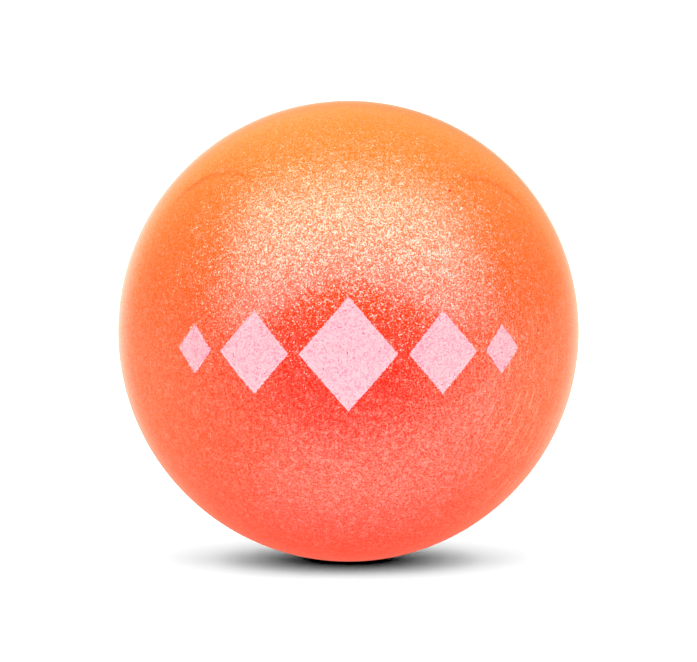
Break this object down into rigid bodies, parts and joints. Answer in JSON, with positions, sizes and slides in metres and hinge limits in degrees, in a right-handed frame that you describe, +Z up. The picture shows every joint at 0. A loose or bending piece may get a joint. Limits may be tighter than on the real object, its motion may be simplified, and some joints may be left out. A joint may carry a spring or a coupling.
{
  "type": "petanque jack",
  "caption": "Small turned wooden ball with a white ground, a pearl colour coat, clear gloss varnish and a printed face, thrown as the target in a game of petanque.",
  "frame": {"origin": "centre of the ball", "axes": "+Z up as the ball lies in the picture, Y along the turning axis with the printed face towards -Y, +X to the right of that face"},
  "size_m": [0.03, 0.0301, 0.03],
  "materials": {
    "wood": "turned and sanded hardwood",
    "ground": "matt white sealer",
    "pearl": "pearl flake lacquer",
    "varnish": "clear gloss varnish",
    "ink": "pad-printed ink"
  },
  "bodies": {
    "root": {"turned_core": "wood", "ground_coat": "ground", "pearl_coat": "pearl", "varnish_coat": "varnish", "ink_lozenge_centre": "ink", "ink_lozenge_inner_left": "ink", "ink_lozenge_inner_right": "ink", "ink_lozenge_outer_left": "ink", "ink_lozenge_outer_right": "ink"}
  },
  "joints": []
}
